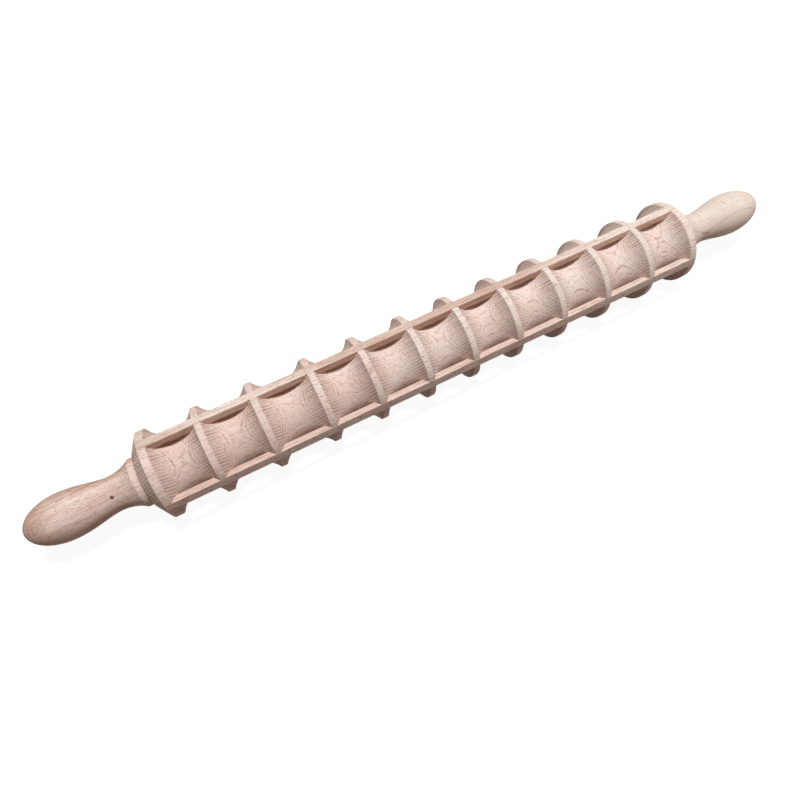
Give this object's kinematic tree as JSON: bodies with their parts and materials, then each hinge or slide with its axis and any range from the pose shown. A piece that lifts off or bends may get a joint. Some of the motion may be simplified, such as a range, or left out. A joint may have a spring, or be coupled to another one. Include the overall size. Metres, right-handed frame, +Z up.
{
  "type": "ravioli rolling pin",
  "caption": "Wooden rolling pin with a ribbed, slatted roller that presses filled dough sheets into square ravioli; the roller turns freely between its turned handles.",
  "frame": {"origin": "on the roller's axis, at mid length", "axes": "+X along the roller's axis towards the right handle, +Z up with one slat straight down"},
  "size_m": [0.6204, 0.065, 0.065],
  "materials": {
    "beech_roller": "turned and sanded, uncoated",
    "beech_slat": "planed, uncoated",
    "beech_handle": "turned and sanded, uncoated",
    "rod_steel": "drawn, bright",
    "bush_nylon": "moulded, natural"
  },
  "bodies": {
    "roller": {"barrel": "beech_roller", "slat_top": "beech_slat", "slat_front": "beech_slat", "slat_bottom": "beech_slat", "slat_rear": "beech_slat", "bush_left": "bush_nylon", "bush_right": "bush_nylon"},
    "handle_set": {"axle_rod": "rod_steel", "handle_left": "beech_handle", "handle_right": "beech_handle", "brad_left": "rod_steel", "brad_right": "rod_steel"}
  },
  "joints": [
    {"name": "handle_spin", "type": "hinge", "parent": "roller", "child": "handle_set", "pos_m": [0, 0, 0], "axis": [1, 0, 0], "continuous": true}
  ]
}
